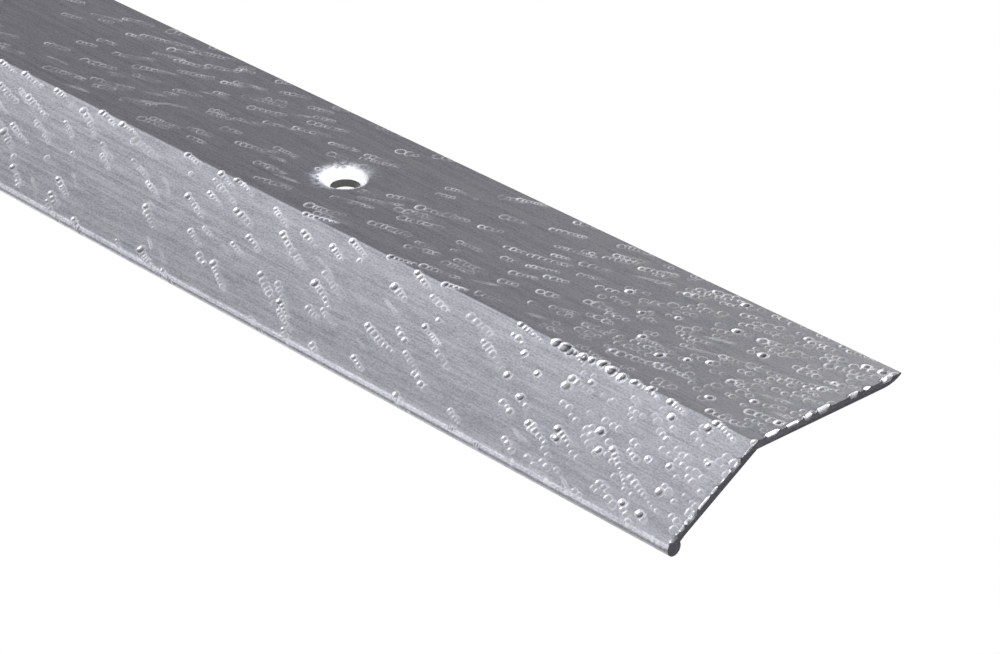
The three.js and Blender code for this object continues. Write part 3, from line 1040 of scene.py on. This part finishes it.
def aluminium():
    """Bright mill finish with fine lines drawn along the strip, smoother where it was pressed."""
    n = Nodes(bpy.data.materials.new("embossed_aluminium"))
    fine = n.noise(FINE_LINES, 2.0, 0.6)
    middle_lines = n.noise(MIDDLE_LINES)
    broad = n.noise(BROAD_LINES)
    grain = n.noise(GRAIN, 1.0)
    pit, punched, rim = (n.attribute(name) for name in ("pit", "punched", "rim"))
    lines = n.blend((fine, middle_lines, broad), LINE_WEIGHTS)
    smears = n.noise(SMEARS, 3.0, 0.6)
    tone = n.blend((lines, grain, smears), TONE_WEIGHTS)
    colour = n.mix(n.ramp(tone, *COLOUR_SPAN), METAL_DARK, METAL_LIGHT)
    polished = n.math("MINIMUM", n.math("MAXIMUM", pit, punched), 1.0)
    # The bore's wall, darkened as painted shade inside the hole
    bore = n.ramp(punched, 1.0, BORE_MARK)
    # The dents' rim lines: a painted highlight in the colour, also made duller and rougher further
    # down
    dull_rim_and_painted_highlight = n.math("MULTIPLY", rim, n.ramp(n.noise(RIM_LINE_BREAKS, 3.0, 0.6), *RIM_LINE_SPAN, *RIM_LINE_SHARES))
    # Painted shade at the far side of large deep dents
    shade = n.attribute("shade")
    frost = n.attribute("frost")
    for share, look in ((n.math("MULTIPLY", polished, PRESSED_SHARE), METAL_PRESSED),
                        (dull_rim_and_painted_highlight, METAL_LIGHT),
                        (n.math("MULTIPLY", shade, PAINTED_SHADE_SHARE), METAL_PAINTED_SHADE),
                        (n.math("MULTIPLY", frost, FROSTED_SHARE), METAL_FROSTED),
                        (bore, METAL_BORE_PAINTED_SHADE)):
        colour = n.mix(share, colour, look)

    # Painted light and shade: the colour is scaled darker towards the front wing's foot and lighter
    # towards the back edge and the cut
    place = n.add("ShaderNodeSeparateXYZ", {0: n.add("ShaderNodeTexCoord").outputs["Object"]})
    x, y, z = (place.outputs[axis] for axis in "XYZ")
    toward_cut = n.ramp(x, (X_MAX - CUT_REACH) * MM, X_MAX * MM)
    foot = n.ramp(toward_cut, 0, 1, *FOOT_PAINTED_SHADE)
    painted_light_and_shade = n.math("MULTIPLY", n.ramp(z, FLOOR_Z * MM, 0.0, foot, 1.0),
                   n.ramp(y, RIDGE_Y * MM, BACK_EDGE_Y * MM, 1.0, BACK_EDGE_PAINTED_LIGHT))
    front, back = (n.ramp(toward_cut, CUT_START, 1, 1.0, cut_tone) for cut_tone in CUT_PAINTED_LIGHT_AND_SHADE)
    painted_light_and_shade = n.math("MULTIPLY", painted_light_and_shade,
                   n.ramp(y, RIDGE_Y * MM, (RIDGE_Y + 1) * MM, front, back))
    scaled = n.add("ShaderNodeVectorMath", {0: colour, "Scale": painted_light_and_shade}, operation="SCALE")

    rough = n.ramp(tone, *ROUGH_SPAN, *ROUGHNESS)
    rough = n.math("MULTIPLY", rough, n.ramp(polished, 0, 1, 1.0, PRESSED_ROUGH))
    shoulder = n.math("MULTIPLY", n.ramp(punched, *SHOULDER_START),
                      n.ramp(punched, *SHOULDER_END, 1.0, 0.0))
    rough = n.math("ADD", rough, n.math("MULTIPLY", dull_rim_and_painted_highlight, RIM_LINE_ROUGH))
    speckle = n.ramp(n.noise(SPECKLE, 3.0, 0.7), *SPECKLE_SPAN)
    speckled_frost = n.math("MULTIPLY", frost, speckle)
    cone = n.math("MULTIPLY", n.ramp(punched, *CONE_START), n.ramp(punched, *CONE_END, 1.0, 0.0))
    dull = n.blend((dull_rim_and_painted_highlight, speckled_frost, cone), DULL_WEIGHTS)
    metallic = n.math("SUBTRACT", 1.0, n.math("MINIMUM", dull, MOST_DULL))
    rough = n.math("ADD", rough, n.math("MULTIPLY", speckled_frost, FROST_ROUGH))
    height = n.blend((fine, middle_lines, grain), HEIGHT_WEIGHTS)
    height = n.math("MULTIPLY", height, n.ramp(shoulder, 0, 1, 1.0, SHOULDER_HEIGHT))
    n.bump(height, 0.4, 0.02 * MM)
    tangent = n.add("ShaderNodeTangent", direction_type="RADIAL", axis="X")
    for key, value in (("Base Color", scaled.outputs[0]), ("Metallic", metallic),
                       ("Roughness", rough), ("Anisotropic", ANISOTROPY),
                       ("Tangent", tangent.outputs[0])):
        n.set(n.shader, key, value)
    return n.owner


TONE_SPAN = (0.3, 0.7)  # of the noises in the plainer materials


def sawn_aluminium():
    """The sheet's sawn ends: dull and finely lined across, and painted dark for the shade on them.
    """
    n = Nodes(bpy.data.materials.new("sawn_aluminium"))
    lines = n.noise((400, 900, 9000))
    grain = n.noise((4000, 4000, 4000))
    tone = n.blend((lines, grain), (0.6, 0.4))
    # The dark colours are painted shade on the end faces
    finish(n, tone, dark=(0.11, 0.11, 0.13, 1), light=(0.24, 0.24, 0.265, 1), metallic=0.85,
           rough=(0.5, 0.65), strength=0.5, distance=0.04)
    return n.owner


def plain(name, cycles, dark, light, metallic, rough):
    """A material whose tone and roughness vary with an even noise."""
    n = Nodes(bpy.data.materials.new(name))
    tone = n.noise((cycles, cycles, cycles), 3.0)
    finish(n, tone, dark, light, metallic, rough, strength=0.2, distance=0.02)
    return n.owner


def finish(n, tone, dark, light, metallic, rough, strength, distance):
    """Sets a shader's colour, roughness and bump from one tone. The distance is in mm."""
    n.set(n.shader, "Base Color", n.mix(n.ramp(tone, *TONE_SPAN), dark, light))
    n.set(n.shader, "Metallic", metallic)
    n.set(n.shader, "Roughness", n.ramp(tone, *TONE_SPAN, *rough))
    n.bump(tone, strength, distance * MM)


# ---- Studio ----
FLOOR_SIZE = 60.0
# Soft lights of the surroundings: direction, cosine at the edge, cosine at full strength, strength.
# The first four show up the dents of the wings and the dimples, the fifth is what the front wing
# mirrors to the camera, and the last four make the bead's bright band and keep its underside light.
SOFT_LIGHTS = [
    ((0.10, 0.85, 0.50), 0.735, 0.92, 1.7),
    ((0.15, -0.45, 0.88), 0.79, 0.95, 2.9),
    ((0.60, -0.10, 0.80), 0.62, 0.90, 0.6),
    ((0.70, 0.58, 0.42), 0.92, 0.98, 1.3),
    ((-0.70, -0.25, 0.70), 0.76, 0.965, 0.40),
    ((-0.62, -0.76, 0.10), 0.885, 0.945, 1.15),
    ((-0.80, 0.00, -0.60), 0.92, 0.99, 1.0),
    ((-0.90, 0.30, -0.30), 0.90, 0.97, 1.1),
    ((-0.96, -0.10, 0.15), 0.935, 0.975, 0.6),
]
# Even light from above and from below: upright part of the direction at its edge and at its full
# strength, and that strength
EVEN_LIGHTS = [(0.02, 0.22, 0.165), (-0.06, -0.24, 0.36)]
LIGHT_COLOUR = (0.985, 0.99, 1.0, 1)
WHITE = (1, 1, 1, 1)


def make_world():
    """Soft studio surroundings for light and reflections, and plain white behind the object."""
    world = bpy.data.worlds.new("studio")
    bpy.context.scene.world = world
    n = Nodes(world)
    n.tree.nodes.clear()
    ray = n.add("ShaderNodeTexCoord").outputs["Generated"]
    total = None
    for direction, edge, full, strength in SOFT_LIGHTS:
        toward = Vector(direction).normalized()
        dot = n.add("ShaderNodeVectorMath", {0: ray, 1: toward}, operation="DOT_PRODUCT")
        inputs = {0: dot.outputs["Value"], 1: edge, 2: full, 3: 0.0, 4: strength}
        share = n.add("ShaderNodeMapRange", inputs, interpolation_type="SMOOTHSTEP").outputs[0]
        total = share if total is None else n.math("ADD", total, share)
    height = n.add("ShaderNodeSeparateXYZ", {0: ray}).outputs["Z"]
    for edge, full, strength in EVEN_LIGHTS:
        total = n.math("ADD", total, n.ramp(height, edge, full, 0.0, strength))
    light = n.add("ShaderNodeBackground", {"Color": LIGHT_COLOUR, "Strength": total})
    white = n.add("ShaderNodeBackground", {"Color": WHITE, "Strength": 1.0})
    seen = n.add("ShaderNodeLightPath").outputs["Is Camera Ray"]
    mixed = n.add("ShaderNodeMixShader", {0: seen, 1: light.outputs[0], 2: white.outputs[0]})
    n.add("ShaderNodeOutputWorld", {"Surface": mixed.outputs[0]})


def make_floor():
    """A wide white floor at the height of the strip's bead, which only the camera sees."""
    half = FLOOR_SIZE / 2
    mesh = bpy.data.meshes.new("floor")
    corners = [(-half, -half), (half, -half), (half, half), (-half, half)]
    mesh.from_pydata([(x, y, FLOOR_Z * MM) for x, y in corners], [], [(0, 1, 2, 3)])
    n = Nodes(bpy.data.materials.new("pale_floor"))
    n.tree.nodes.remove(n.shader)
    pale = n.add("ShaderNodeEmission", {"Color": WHITE, "Strength": 1.0})
    n.set(n.tree.nodes["Material Output"], "Surface", pale.outputs[0])
    floor = show(mesh, n.owner)
    floor.visible_diffuse = floor.visible_glossy = floor.visible_shadow = False


# The camera stands this far from the ridge at the sawn end: along the strip, out from it, and up
CAMERA_FROM_CORNER = Vector((264.8, -285.3, 220.3))
AZIMUTH = math.radians(47.36)
ELEVATION = math.radians(27.84)
ROLL = math.radians(0.14)
LENS = 135.0
SENSOR = 36.0
CLIP = (0.01, 200.0)


def make_camera():
    """The camera at the photo's viewing angle."""
    camera = bpy.data.objects.new("camera", bpy.data.cameras.new("camera"))
    bpy.context.scene.collection.objects.link(camera)
    camera.data.sensor_width = SENSOR
    camera.data.lens = LENS
    camera.data.clip_start, camera.data.clip_end = CLIP
    corner = Vector((X_MAX, RIDGE_Y, SHEET))
    camera.location = (corner + CAMERA_FROM_CORNER) * MM
    turn = (Matrix.Rotation(AZIMUTH, 3, "Z")
            @ Matrix.Rotation(math.pi / 2 - ELEVATION, 3, "X")
            @ Matrix.Rotation(ROLL, 3, "Z"))
    camera.rotation_euler = turn.to_euler()
    bpy.context.scene.camera = camera


# ---- Assembly ----
SHARP_ANGLE = math.radians(50)


def add_piece(mesh, node, slot, *materials):
    """Puts a mesh on the body in place of a CAD node."""
    piece = show(mesh, *materials)
    mesh.set_sharp_from_angle(angle=SHARP_ANGLE)
    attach(piece, BODY)
    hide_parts(node)


add_piece(make_strip(), "strip_profile", "aluminium", aluminium(), sawn_aluminium())

steel = plain("zinc_plated_steel", 900, dark=(0.55, 0.55, 0.54, 1), light=(0.75, 0.75, 0.73, 1),
              metallic=1.0, rough=(0.2, 0.32))
nylon = plain("grey_nylon", 700, dark=(0.2, 0.21, 0.23, 1), light=(0.26, 0.27, 0.29, 1),
              metallic=0.0, rough=(0.45, 0.6))
for name in SCREWS:
    add_piece(make_screw(name), name, "screw_steel", steel)
for name in PLUGS:
    add_piece(make_plug(name), name, "plug_nylon", nylon)

make_world()
make_floor()
make_camera()
bpy.context.scene.view_settings.view_transform = "Standard"
